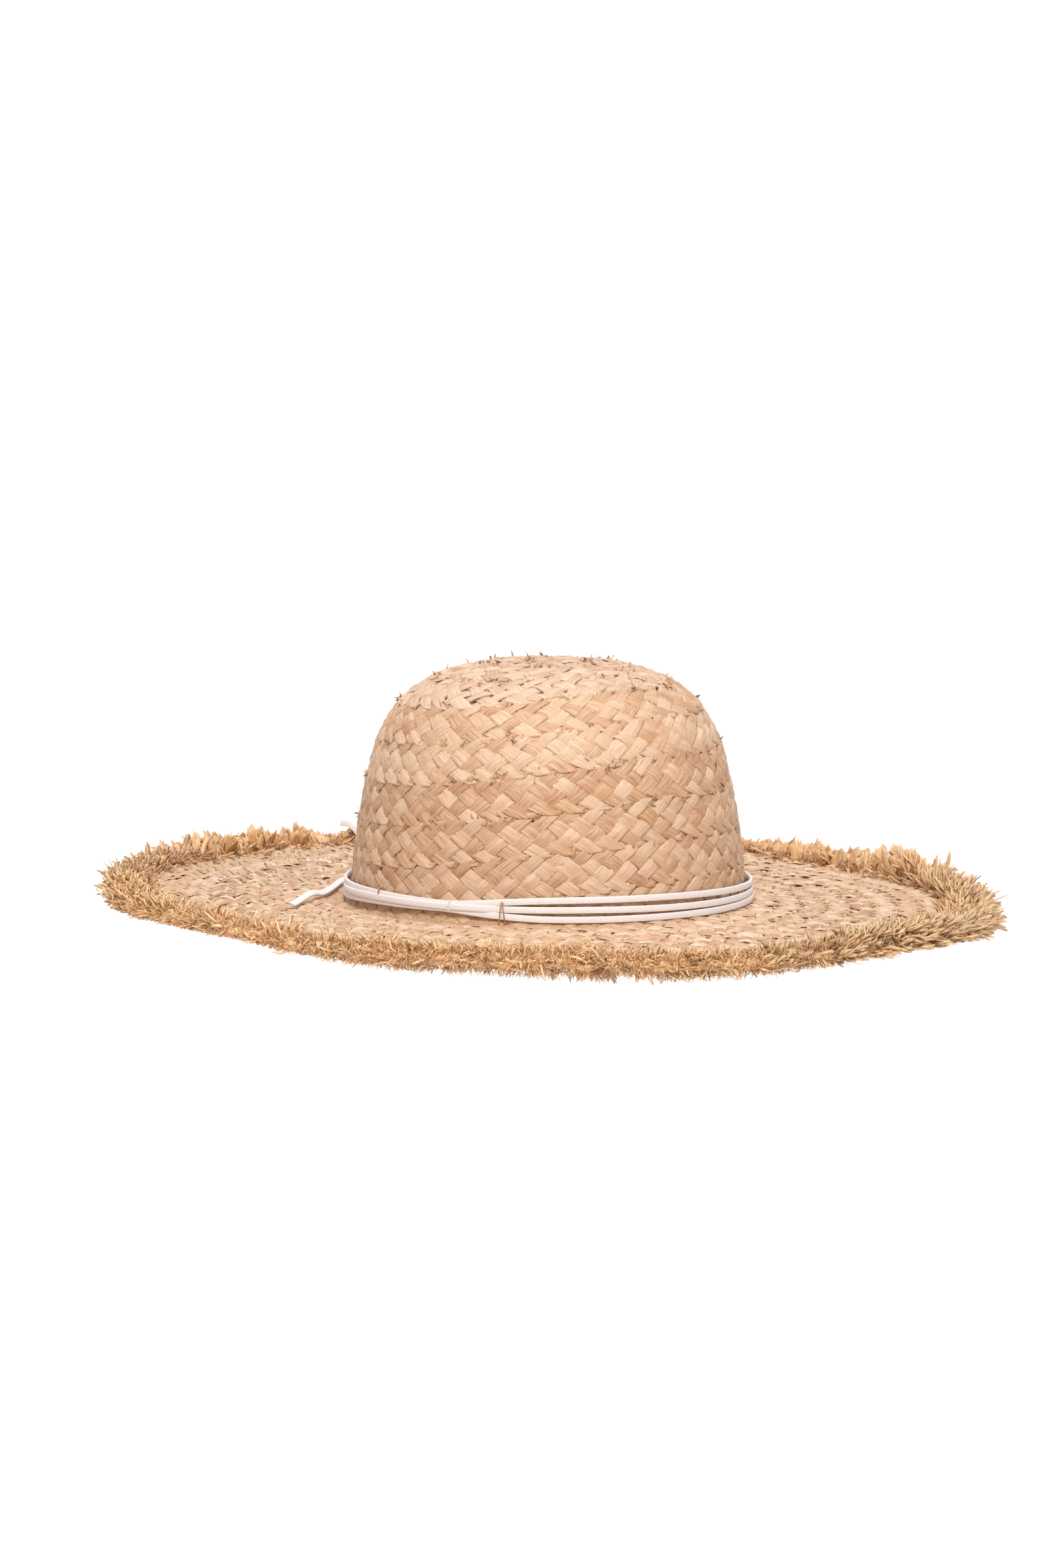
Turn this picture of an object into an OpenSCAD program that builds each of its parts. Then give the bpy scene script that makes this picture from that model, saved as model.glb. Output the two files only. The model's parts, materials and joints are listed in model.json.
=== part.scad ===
// Raffia sun hat: a round crown and a wide brim, both sewn from one flat plait that
// winds outwards from the tip, a frayed raffia edge, a cotton sweatband, and a white
// lace wound three times round the crown and knotted at the back left.
// Millimetres, +Z up, front towards -Y. The origin is under the middle of the crown,
// on the surface that the frayed edge rests on.

/* [Head opening] */
// Inner radius of the sweatband, for a head about 56 cm round
head_r = 89.3; // [86:0.1:92]
// Height of the sweatband tape
band_h = 24; // [16:1:30]
// Thickness of the sweatband tape
band_t = 0.9; // [0.6:0.1:1.2]

/* [Crown] */
// Outer radius where the crown meets the brim
crown_r = 94.5; // [94:0.5:98]
// Height of the crown above the top of the brim
crown_h = 113.5; // [100:0.5:130]
// Thickness of the plait
plait_t = 1.8; // [1.2:0.1:2.2]
// Turns of plait between the tip and the brim
crown_turns = 9; // [6:1:10]
// Radius of the wound start of the plait at the tip
tip_r = 14; // [10:1:20]

/* [Brim] */
// Outer radius of the last turn of plait
brim_r = 192; // [170:1:200]
// Turns of plait in the brim
brim_turns = 8; // [5:1:9]
// Height by which the brim dips at the right front and lifts at the left rear
brim_tilt = 7; // [0:0.5:9]
// Height of the small waves along the brim's edge
brim_wave = 1.4; // [0:0.1:2]

/* [Frayed edge] */
// Radius that the frayed ends reach
fringe_r = 215; // [205:1:225]
// Radius at which the frayed rows start
fringe_inner_r = 185; // [180:1:190]
// How far the frayed ends stand above the plait
fringe_up = 6; // [3:0.5:9]
// How far the frayed ends hang below the top of the plait
fringe_down = 8; // [5:0.5:11]

/* [Lace] */
// Width of the flat cotton lace
lace_w = 3.1; // [2.5:0.1:4]
// Thickness of the lace
lace_t = 1.4; // [1:0.1:1.8]

/* [Hidden] */
$fn = 96;

raffia = [0.86, 0.70, 0.51];
raffia_pale = [0.90, 0.76, 0.60];
raffia_golden = [0.82, 0.62, 0.38];
cotton_white = [0.95, 0.92, 0.91];
cotton_cream = [0.90, 0.85, 0.76];

ring_steps = 72;      // sections round a wavy ring
thread_r = 0.35;      // radius of a sewing strand

// ---- Crown outline --------------------------------------------------------------
// Share of the foot's radius that the crown keeps at the share t of its height.
function crown_share(t) = (1 - 0.08 * t - 0.16 * t * t) * pow(1 - pow(t, 8), 0.35);
function crown_radius(h) = crown_r * crown_share(min(1, max(0, h / crown_h)));

// Outline points from the foot to the top, closer together where it bends over.
outline_steps = 160;
function outline_t(i) = sin(90 * i / outline_steps);
outline = [for (i = [0:outline_steps]) [crown_r * crown_share(outline_t(i)), crown_h * outline_t(i)]];
run = [for (i = 0, s = 0; i <= outline_steps;
            s = s + (i < outline_steps ? norm(outline[i + 1] - outline[i]) : 0), i = i + 1) s];
run_r = [for (i = [0:outline_steps]) [run[i], outline[i][0]]];
run_z = [for (i = [0:outline_steps]) [run[i], outline[i][1]]];
crown_run = run[outline_steps];
turn_w = (crown_run - tip_r) / crown_turns;

// A point of the crown at the distance s up its outline, moved inwards by depth.
function skin_point(s) = [lookup(s, run_r), lookup(s, run_z)];
function skin_normal(s) =
    let (d = skin_point(min(crown_run, s + 0.5)) - skin_point(max(0, s - 0.5)))
    [d[1], -d[0]] / norm(d);
function skin_inside(s, depth) =
    let (p = skin_point(s) - depth * skin_normal(s)) [max(0, p[0]), p[1]];

// ---- Brim surface ---------------------------------------------------------------
low_side = -20;       // direction in which the brim dips
wave_count = 7;       // waves round the edge
function brim_reach(r) = max(0, r - crown_r) / (fringe_r - crown_r);
function brim_lift(r, a) =
    -brim_tilt * cos(a - low_side) * brim_reach(r)
    + brim_wave * sin(wave_count * a) * pow(brim_reach(r), 2);
fringe_peak_r = 206;  // radius at which the frayed edge is thickest
// The top of the brim at the crown, high enough for the lowest frayed end to touch z = 0.
brim_z = fringe_down - min([for (i = [0:ring_steps - 1]) brim_lift(fringe_peak_r, 360 * i / ring_steps)]);
function brim_top(r, a) = brim_z + brim_lift(r, a);
// The first turn of the brim lies under the crown's foot.
brim_inner_r = crown_r - plait_t;
brim_pitch = (brim_r - brim_inner_r) / brim_turns;
function brim_edge(k) = brim_inner_r + k * brim_pitch;

// ---- Shared builders ------------------------------------------------------------
// A closed ring through the sections that section(a) gives as [radius, height] points,
// counter-clockwise in the plane of radius and height.
module ring_loft(section) {
    rows = [for (i = [0:ring_steps - 1]) section(360 * i / ring_steps)];
    n = len(rows[0]);
    points = [for (i = [0:ring_steps - 1]) let (a = 360 * i / ring_steps)
              for (p = rows[i]) [p[0] * cos(a), p[0] * sin(a), p[1]]];
    faces = [for (i = [0:ring_steps - 1], j = [0:n - 1])
             let (b = (i + 1) % ring_steps, k = (j + 1) % n)
             each [[i * n + j, i * n + k, b * n + j], [i * n + k, b * n + k, b * n + j]]];
    polyhedron(points, faces, convexity = 6);
}

// A point of a smooth curve through the route, at the share u between points i and i + 1.
function route_point(route, i, u) =
    let (n = len(route) - 1,
         p0 = route[max(0, i - 1)], p1 = route[i], p2 = route[i + 1], p3 = route[min(n, i + 2)])
    0.5 * (2 * p1 + (p2 - p0) * u + (2 * p0 - 5 * p1 + 4 * p2 - p3) * u * u
           + (3 * p1 - p0 - 3 * p2 + p3) * u * u * u);
function smooth_route(route, cuts) = concat(
    [for (i = [0:len(route) - 2], c = [0:cuts - 1]) route_point(route, i, c / cuts)],
    [route[len(route) - 1]]);

// A tube of the given radius swept along the route.
module route_tube(route, radius, sides, cuts) {
    path = smooth_route(route, cuts);
    last = len(path) - 1;
    points = [for (i = [0:last])
              let (d = path[min(last, i + 1)] - path[max(0, i - 1)],
                   across = cross(d, [0, 0, 1]) / norm(cross(d, [0, 0, 1])),
                   up = cross(across, d) / norm(cross(across, d)))
              for (j = [0:sides - 1])
              path[i] + radius * (cos(360 * j / sides) * across + sin(360 * j / sides) * up)];
    walls = [for (i = [0:last - 1], j = [0:sides - 1]) let (k = (j + 1) % sides)
             each [[i * sides + j, i * sides + k, (i + 1) * sides + j],
                   [i * sides + k, (i + 1) * sides + k, (i + 1) * sides + j]]];
    near_end = [for (j = [sides - 1:-1:0]) j];
    far_end = [for (j = [0:sides - 1]) last * sides + j];
    polyhedron(points, concat(walls, [near_end, far_end]), convexity = 6);
}

// ---- Crown ----------------------------------------------------------------------
turn_cuts = 6;        // straight steps across one turn of the crown

// Turn 1 lies next to the tip and turn 9 stands on the brim.
module crown_turn(k) {
    high = crown_run - tip_r - (k - 1) * turn_w;
    low = high - turn_w;
    steps = [for (i = [0:turn_cuts]) low + (high - low) * i / turn_cuts];
    color(raffia) translate([0, 0, brim_z]) rotate_extrude()
        polygon(concat([for (s = steps) skin_point(s)],
                       [for (i = [turn_cuts:-1:0]) skin_inside(steps[i], plait_t)]));
}

module crown_tip() {
    steps = [for (i = [0:turn_cuts]) crown_run - tip_r * (1 - i / turn_cuts)];
    color(raffia_pale) translate([0, 0, brim_z]) rotate_extrude()
        polygon(concat([for (s = steps) skin_point(s)],
                       [[0, crown_h - plait_t]],
                       [for (i = [turn_cuts - 1:-1:0]) skin_inside(steps[i], plait_t)]));
}

// The sewing strand shows along each seam between two turns.
module crown_thread() {
    color(raffia) translate([0, 0, brim_z]) for (k = [0:crown_turns - 1]) {
        s = crown_run - tip_r - k * turn_w;
        p = skin_point(s) + thread_r * 1.05 * skin_normal(s);
        rotate_extrude() translate(p) circle(r = thread_r, $fn = 24);
    }
}

// ---- Brim -----------------------------------------------------------------------
module brim_turn(k) {
    inner = brim_edge(k - 1);
    outer = brim_edge(k);
    color(raffia_pale) ring_loft(function (a) [
        [inner, brim_top(inner, a) - plait_t], [outer, brim_top(outer, a) - plait_t],
        [outer, brim_top(outer, a)], [inner, brim_top(inner, a)]]);
}

module brim_thread() {
    color(raffia_pale) for (k = [1:brim_turns - 1]) {
        r = brim_edge(k);
        ring_loft(function (a) [
            [r - thread_r, brim_top(r, a) + 0.05], [r + thread_r, brim_top(r, a) + 0.05],
            [r, brim_top(r, a) + 0.05 + 2 * thread_r]]);
    }
}

// ---- Frayed edge ----------------------------------------------------------------
fringe_mid = plait_t / 2;    // depth at which the upper and the lower row meet
row_gap = 0.1;               // room between a frayed row and the plait it is sewn to

module fringe_upper() {
    color(raffia_golden) ring_loft(function (a) [
        [fringe_inner_r, brim_top(fringe_inner_r, a) + row_gap],
        [brim_r + row_gap, brim_top(brim_r, a) + row_gap],
        [brim_r + row_gap, brim_top(brim_r, a) - fringe_mid + row_gap],
        [fringe_r, brim_top(fringe_r, a) - fringe_mid + row_gap],
        [fringe_peak_r, brim_top(fringe_peak_r, a) + fringe_up],
        [fringe_inner_r + 7, brim_top(fringe_inner_r + 7, a) + fringe_up - 1]]);
}

module fringe_lower() {
    color(raffia_golden) ring_loft(function (a) [
        [fringe_inner_r, brim_top(fringe_inner_r, a) - plait_t - row_gap],
        [fringe_inner_r + 7, brim_top(fringe_inner_r + 7, a) - fringe_down + 1],
        [fringe_peak_r, brim_top(fringe_peak_r, a) - fringe_down],
        [fringe_r, brim_top(fringe_r, a) - fringe_mid - row_gap],
        [brim_r + row_gap, brim_top(brim_r, a) - fringe_mid - row_gap],
        [brim_r + row_gap, brim_top(brim_r, a) - plait_t - row_gap]]);
}

// ---- Sweatband ------------------------------------------------------------------
band_foot = 1;        // height of the tape's lower edge above the brim's top
hem_h = 1.2;          // height of the turned hem that reaches out to the crown
hem_r = 92.4;         // radius of that hem

module sweatband() {
    color(cotton_cream) translate([0, 0, brim_z + band_foot]) rotate_extrude()
        polygon([[head_r, 0], [hem_r, 0], [hem_r, hem_h], [head_r + band_t, hem_h + 1],
                 [head_r + band_t, band_h], [head_r, band_h]]);
}

// The seam that holds the tape runs along its lower hem.
module sweatband_stitching() {
    seam_r = 90.6;
    color(cotton_white) translate([0, 0, brim_z + band_foot - thread_r * 1.05])
        rotate_extrude() translate([seam_r, 0]) circle(r = thread_r, $fn = 24);
}

// ---- Lace -----------------------------------------------------------------------
pinch_a = 241;        // where the binding thread pulls the three wraps together
lace_gap = 0.15;      // room between the lace and the crown
// Height of the middle wrap above the brim, and the distance from one wrap to the next.
// Both follow the same few angles: right, rear, left, pinch, front and right again.
wrap_mid = [[0, 5.3], [90, 5.6], [150, 6.2], [180, 6.4], [212, 7.8], [pinch_a, 7.4],
            [262, 7.2], [300, 7.0], [335, 6.1], [360, 5.3]];
wrap_step = [[0, 3.4], [90, 3.3], [150, 3.3], [180, 3.6], [212, 2.7], [pinch_a, 2.2],
             [262, 3.9], [300, 4.4], [335, 4.2], [360, 3.4]];
function lace_height(k, a) = lookup(a, wrap_mid) + k * lookup(a, wrap_step);
function lace_face(a) = min(lace_w, lookup(a, wrap_step) - 0.1);

// One pass of the lace: k is -1 for the lowest, 0 for the middle and 1 for the top.
module lace_wrap(k) {
    color(cotton_white) ring_loft(function (a)
        let (z = lace_height(k, a), half = lace_face(a) / 2, r = crown_radius(z - half) + lace_gap)
        [[r, brim_z + z - half], [r + lace_t, brim_z + z - half],
         [r + lace_t, brim_z + z + half], [r, brim_z + z + half]]);
}

knot_a = 140;         // the knot sits at the back left, out of sight from the front
knot_r = 3.2;         // radius of the knot
knot_l = 8.4;         // length of the knot along the crown
knot_place = [-75.9, 63.7, 21];

module lace_knot() {
    color(cotton_white) translate(knot_place) rotate([0, 0, knot_a]) rotate([90, 0, 0])
        translate([0, 0, -knot_l / 2]) rotate_extrude()
            polygon([[0, 0], [1.8, 0], [2.8, 0.9], [knot_r, 2.4], [2.6, knot_l / 2],
                     [knot_r, knot_l - 2.4], [2.8, knot_l - 0.9], [1.8, knot_l], [0, knot_l]]);
}

// The tails leave the knot and lie on the brim: one forwards along the crown's left
// side, one backwards over the frayed edge.
front_route = [[-80.6, 58.6, 20.4], [-85, 57, 19.1], [-90, 54, 18.6], [-95, 48.5, 18.5],
               [-98.5, 41, 18.5], [-100.5, 31, 18.5], [-102, 20, 18.5], [-104, 9, 18.5],
               [-106, 0, 18.5], [-108.3, -8, 18.9], [-110.5, -15, 20.1], [-112.5, -21, 20.4],
               [-114.7, -28, 20], [-117.5, -38, 19.3], [-120, -50, 19.3]];
rear_route = [[-71.8, 68.8, 20.4], [-71.2, 74, 19.2], [-72.5, 81, 18.8], [-75.5, 90, 19],
              [-79, 100, 19.5], [-83, 112, 20.1], [-86.5, 126, 20.8], [-89, 140, 21.5],
              [-90.5, 152, 22.4], [-92, 161, 24.4], [-94, 167, 26.6], [-96.5, 172, 28.2],
              [-99, 176.5, 28.8], [-101.5, 181, 28.5]];
tail_r = 1.4;         // radius of the tube that stands for the flat lace

module lace_tail(route) {
    color(cotton_white) route_tube(route, tail_r, 8, 2);
}

// ---- Trim on the lace -----------------------------------------------------------
// An open staple of thread over the wraps at the angle a, its legs against the crown.
module staple(a, z, height, width, thick) {
    inner = crown_radius(z) + lace_gap + lace_t + 0.1;
    rotate([0, 0, a]) translate([0, 0, brim_z + z]) {
        translate([inner, -width / 2, -height / 2]) cube([thick, width, height]);
        for (side = [-1, 1])
            translate([inner - 1.1, -width / 2, side * (height + thick) / 2 - thick / 2])
                cube([1.1 + thick, width, thick]);
    }
}

module binding_thread() {
    color(cotton_white) staple(pinch_a, 7.4, 7.2, 0.7, 0.4);
}

module raffia_tacks() {
    color(raffia) {
        staple(257, 5.4, 10.4, 0.8, 0.3);
        staple(214, 9.6, 5.6, 0.9, 0.3);
    }
}

crown_tip();
crown_turn(1);  // crown_turn_1
crown_turn(2);  // crown_turn_2
crown_turn(3);  // crown_turn_3
crown_turn(4);  // crown_turn_4
crown_turn(5);  // crown_turn_5
crown_turn(6);  // crown_turn_6
crown_turn(7);  // crown_turn_7
crown_turn(8);  // crown_turn_8
crown_turn(9);  // crown_turn_9
brim_turn(1);  // brim_turn_1
brim_turn(2);  // brim_turn_2
brim_turn(3);  // brim_turn_3
brim_turn(4);  // brim_turn_4
brim_turn(5);  // brim_turn_5
brim_turn(6);  // brim_turn_6
brim_turn(7);  // brim_turn_7
brim_turn(8);  // brim_turn_8
fringe_upper();
fringe_lower();
crown_thread();
brim_thread();
sweatband();
sweatband_stitching();
lace_wrap(-1);  // lace_wrap_bottom
lace_wrap(0);  // lace_wrap_middle
lace_wrap(1);  // lace_wrap_top
lace_knot();
lace_tail(front_route);  // lace_tail_front
lace_tail(rear_route);  // lace_tail_rear
binding_thread();
raffia_tacks();
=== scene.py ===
"""Looks of a raffia sun hat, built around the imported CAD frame.

Lengths are worked out in millimetres and turned into metres when a mesh is made.
The plait is a real spiral of woven ribbons, from the tip of the crown to the brim's edge.
"""
import json
import math

import bpy
import numpy as np
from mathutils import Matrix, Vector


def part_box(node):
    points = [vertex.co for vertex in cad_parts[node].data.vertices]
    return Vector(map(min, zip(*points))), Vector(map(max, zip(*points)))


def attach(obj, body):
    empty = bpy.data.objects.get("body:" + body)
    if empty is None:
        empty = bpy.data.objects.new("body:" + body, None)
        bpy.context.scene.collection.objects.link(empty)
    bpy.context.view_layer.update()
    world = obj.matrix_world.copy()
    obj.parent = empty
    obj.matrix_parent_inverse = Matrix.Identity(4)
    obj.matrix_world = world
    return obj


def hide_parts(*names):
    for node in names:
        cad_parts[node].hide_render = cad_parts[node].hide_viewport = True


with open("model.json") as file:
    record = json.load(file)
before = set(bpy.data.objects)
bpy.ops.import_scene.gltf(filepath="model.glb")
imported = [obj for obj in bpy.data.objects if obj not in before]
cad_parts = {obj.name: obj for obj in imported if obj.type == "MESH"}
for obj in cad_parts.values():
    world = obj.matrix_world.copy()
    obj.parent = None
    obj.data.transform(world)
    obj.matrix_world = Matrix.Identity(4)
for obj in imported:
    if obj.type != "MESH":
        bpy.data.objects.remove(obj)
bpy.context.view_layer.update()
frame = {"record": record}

MM = 0.001
BODY = "root"
# Each strand's own number, up to this one, seeds its colour.
STRAND_NUMBERS = 900
rng = np.random.default_rng(7)


# ---- Sizes taken from the frame ----
def low_corner(node):
    return np.array(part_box(node)[0]) / MM


def high_corner(node):
    return np.array(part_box(node)[1]) / MM


BRIM_Z = low_corner("crown_turn_9")[2]
CROWN_R = high_corner("crown_turn_9")[0]
CROWN_H = high_corner("crown_tip")[2] - BRIM_Z
BRIM_R = high_corner("brim_turn_8")[0]
FRINGE_R = high_corner("fringe_upper")[0]
BAND_OUT_R = high_corner("sweatband")[0]
BAND_FOOT = low_corner("sweatband")[2]
BAND_TOP = high_corner("sweatband")[2]
HEAD_R = frame["record"]["mounts"][0]["dims"]["r_mm"]
# As the CAD source has them: the plait's thickness, the brim's tilt and waves, and its low side.
PLAIT_T = 1.8
BRIM_TILT = 7.0
BRIM_WAVE = 1.4
WAVE_COUNT = 7
LOW_SIDE = -20.0


# ---- Small helpers ----
def srgb(red, green, blue):
    """Linear colour from screen values of 0 to 255."""
    parts = np.array([red, green, blue]) / 255
    linear = np.where(parts <= 0.04045, parts / 12.92, ((parts + 0.055) / 1.055) ** 2.4)
    return (*linear.tolist(), 1.0)


def smoothstep(t):
    t = np.clip(t, 0, 1)
    return t * t * (3 - 2 * t)


def unit(v):
    return v / np.maximum(np.linalg.norm(v, axis=-1, keepdims=True), 1e-9)


def wave_noise(x, y, seed):
    """Smooth noise between about -1 and 1, the same on every run."""
    local = np.random.default_rng(seed)
    total = 0
    for _ in range(6):
        fx, fy, phase = local.normal(0, 1), local.normal(0, 1), local.uniform(0, 2 * math.pi)
        total = total + np.sin(fx * x + fy * y + phase)
    return total / 3


def new_object(name, data):
    made = bpy.data.objects.new(name, data)
    bpy.context.scene.collection.objects.link(made)
    return made


def running_sum(steps):
    return np.concatenate([[0], np.cumsum(steps)])


def blurred(values, reach, sigma):
    """The values softened by a bell of the given sigma, in steps."""
    bell = np.exp(-0.5 * (np.arange(-reach, reach + 1) / sigma) ** 2)
    return np.convolve(values, bell / bell.sum(), "same")


class Shape:
    """Collects points, faces and strand coordinates, and makes one closed mesh of them."""

    def __init__(self):
        self.points, self.quads, self.tris, self.strands, self.count = [], [], [], [], 0

    def add(self, points, strand, quads, tris=None):
        points = np.asarray(points, float).reshape(-1, 3)
        self.points.append(points)
        self.strands.append(np.asarray(strand, float).reshape(-1, 3))
        self.quads.append(np.asarray(quads, int).reshape(-1, 4) + self.count)
        if tris is not None:
            self.tris.append(np.asarray(tris, int).reshape(-1, 3) + self.count)
        self.count += len(points)

    def make(self, name, material, replaces=()):
        points = np.concatenate(self.points) * MM
        quads = np.concatenate(self.quads)
        tris = np.concatenate(self.tris) if self.tris else np.zeros((0, 3), int)
        mesh = bpy.data.meshes.new(name)
        mesh.vertices.add(len(points))
        mesh.vertices.foreach_set("co", points.astype(np.float32).ravel())
        loops = np.concatenate([quads.ravel(), tris.ravel()])
        starts = np.concatenate([np.arange(len(quads)) * 4, len(quads) * 4 + np.arange(len(tris)) * 3])
        mesh.loops.add(len(loops))
        mesh.loops.foreach_set("vertex_index", loops.astype(np.int32))
        mesh.polygons.add(len(starts))
        mesh.polygons.foreach_set("loop_start", starts.astype(np.int32))
        mesh.update(calc_edges=True)
        mesh.validate()
        mesh.polygons.foreach_set("use_smooth", np.full(len(mesh.polygons), True))
        strand = mesh.attributes.new("strand", "FLOAT_VECTOR", "POINT")
        strand.data.foreach_set("vector", np.concatenate(self.strands).astype(np.float32).ravel())
        mesh.materials.append(material)
        piece = new_object(name, mesh)
        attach(piece, BODY)
        if replaces:
            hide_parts(*replaces)
        return piece


    def add_strip(self, face, back, strand, turned=False):
        """Adds a closed strip from the points of its face and of its back, rows x cols x 3 each."""
        quads = box_grid(*face.shape[:2])
        both = np.concatenate([face.reshape(-1, 3), back.reshape(-1, 3)])
        self.add(both, np.concatenate([strand.reshape(-1, 3)] * 2), quads[:, ::-1] if turned else quads)

    def add_tube(self, centre, side, over, section, run, number, closed):
        """Adds a tube: its (across, up) section laid along side and over at each centre point."""
        across, up = section
        points = centre[:, None] + side[:, None] * across[None, :, None] + over[:, None] * up[None, :, None]
        strand = joined(run[:, None], across, number)
        quads, ends = tube_quads(len(centre), len(across), closed)
        self.add(points, strand, quads[:, ::-1], None if closed else ends[:, ::-1])


def joined(x, y, z):
    """Three numbers or arrays as one array of triples."""
    return np.stack(np.broadcast_arrays(x, y, z), -1)


def at_angle(r, degrees, z):
    """Points at the radius r, the angle and the height z."""
    turn = np.radians(degrees)
    return joined(r * np.cos(turn), r * np.sin(turn), z)


def outward(degrees):
    """Level direction away from the hat's middle at the angle."""
    return at_angle(1.0, degrees, 0.0)


def onward(degrees):
    """Level direction round the hat at the angle."""
    return outward(degrees + 90)


def box_grid(rows, cols):
    """Quads of a closed flat strip: rows x cols points on its face, then as many on its back."""
    n = rows * cols
    at = np.arange(n).reshape(rows, cols)
    a, b, c, d = at[:-1, :-1], at[:-1, 1:], at[1:, 1:], at[1:, :-1]
    left, left_next, right, right_next = at[:-1, 0], at[1:, 0], at[:-1, -1], at[1:, -1]
    start, start_next, end, end_next = at[0, :-1], at[0, 1:], at[-1, :-1], at[-1, 1:]
    quads = [
        (a, b, c, d),
        (a + n, d + n, c + n, b + n),
        (left, left_next, left_next + n, left + n),
        (right, right + n, right_next + n, right_next),
        (start, start + n, start_next + n, start_next),
        (end, end_next, end_next + n, end + n),
    ]
    return np.concatenate([np.stack([corner.ravel() for corner in quad], 1) for quad in quads])


def tube_quads(rings, sides, closed=False):
    """Quads round a tube of rings x sides points, and its two end faces fanned as triangles."""
    r, s = np.meshgrid(np.arange(rings if closed else rings - 1), np.arange(sides), indexing="ij")
    r, s = r.ravel(), s.ravel()
    r2, s2 = (r + 1) % rings, (s + 1) % sides
    quads = np.stack([r * sides + s, r * sides + s2, r2 * sides + s2, r2 * sides + s], 1)
    if closed:
        return quads, None
    first = [[0, k + 1, k] for k in range(1, sides - 1)]
    last = (rings - 1) * sides
    final = [[last, last + k, last + k + 1] for k in range(1, sides - 1)]
    return quads, np.array(first + final)


# ---- Camera ----
CAMERA_TARGET = np.array([-12.0, 0.0, 70.0]) * MM
CAMERA_AWAY = 4.5
CAMERA_ELEVATION = math.radians(7.0)
VIEW_TALL = 0.743


def make_camera():
    data = bpy.data.cameras.new("camera")
    data.sensor_width = 36
    data.lens = 36 * CAMERA_AWAY / VIEW_TALL
    camera = new_object("camera", data)
    back = np.array([0, -math.cos(CAMERA_ELEVATION), math.sin(CAMERA_ELEVATION)])
    camera.location = CAMERA_TARGET + CAMERA_AWAY * back
    camera.rotation_euler = (math.pi / 2 - CAMERA_ELEVATION, 0, 0)
    bpy.context.scene.camera = camera


make_camera()


# ---- Materials ----
class Nodes:
    """A few short ways to build a node tree."""

    def __init__(self, name):
        self.material = bpy.data.materials.new(name)
        self.material.use_nodes = True
        self.tree = self.material.node_tree
        self.shader = self.tree.nodes["Principled BSDF"]

    def new(self, kind, **settings):
        node = self.tree.nodes.new(kind)
        for key, value in settings.items():
            setattr(node, key, value)
        return node

    def join(self, out, into):
        self.tree.links.new(out, into)

    def feed(self, sockets, values):
        """Sets each socket to its value, or links it to the output given for it."""
        for socket, value in zip(sockets, values):
            if isinstance(value, (int, float, tuple)):
                socket.default_value = value
            else:
                self.join(value, socket)

    def math(self, operation, a, b=0.0, clamp=False):
        node = self.new("ShaderNodeMath", operation=operation, use_clamp=clamp)
        self.feed(node.inputs, (a, b))
        return node.outputs[0]

    def vector(self, x, y, z):
        node = self.new("ShaderNodeCombineXYZ")
        self.feed(node.inputs, (x, y, z))
        return node.outputs[0]

    def noise(self, vector, scale, detail, roughness):
        node = self.new("ShaderNodeTexNoise")
        sockets = [node.inputs[key] for key in ("Vector", "Scale", "Detail", "Roughness")]
        self.feed(sockets, (vector, scale, detail, roughness))
        return node.outputs["Fac"]

    def ramp(self, value, stops):
        node = self.new("ShaderNodeValToRGB")
        stops = list(stops)
        while len(node.color_ramp.elements) < len(stops):
            node.color_ramp.elements.new(0.5)
        for element, (place, colour) in zip(node.color_ramp.elements, stops):
            element.position = place
            element.color = colour
        self.join(value, node.inputs["Fac"])
        return node.outputs["Color"]

    def mix_colours(self, factor, a, b):
        node = self.new("ShaderNodeMix", data_type="RGBA")
        sockets = [s for s in node.inputs if s.type == "RGBA"]
        self.feed((node.inputs[0], *sockets), (factor, a, b))
        return [s for s in node.outputs if s.type == "RGBA"][0]

    def bump(self, height, strength, distance):
        node = self.new("ShaderNodeBump")
        sockets = [node.inputs[key] for key in ("Height", "Strength", "Distance")]
        self.feed(sockets, (height, strength, distance))
        return node.outputs["Normal"]

    def strand_parts(self):
        """The outputs along the strand, across it, and its own number."""
        strand = self.new("ShaderNodeAttribute", attribute_name="strand")
        parts = self.new("ShaderNodeSeparateXYZ")
        self.join(strand.outputs["Vector"], parts.inputs[0])
        return parts.outputs

    def finish(self, colour, normal, roughness, specular, sheen=0.0):
        sockets = [self.shader.inputs[key] for key in ("Base Color", "Normal", "Roughness")]
        self.feed(sockets, (colour, normal, roughness))
        self.shader.inputs["Specular IOR Level"].default_value = specular
        self.shader.inputs["Sheen Weight"].default_value = sheen
        return self.material


GRAIN_SCALE = (0.05, 1.5)
FIBRE_SCALE = (0.12, 5.0)
TONE_STOPS = (0.30, 0.58, 0.92)
STAIN_SCALE = 42.0
STAIN_FROM = 0.60
STAIN_SHARE = 0.5
FIBRE_LINE_FROM = 0.44
FIBRE_LINE_SHARE = 0.34
RAFFIA_ROUGHNESS = (0.32, 0.3)


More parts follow.
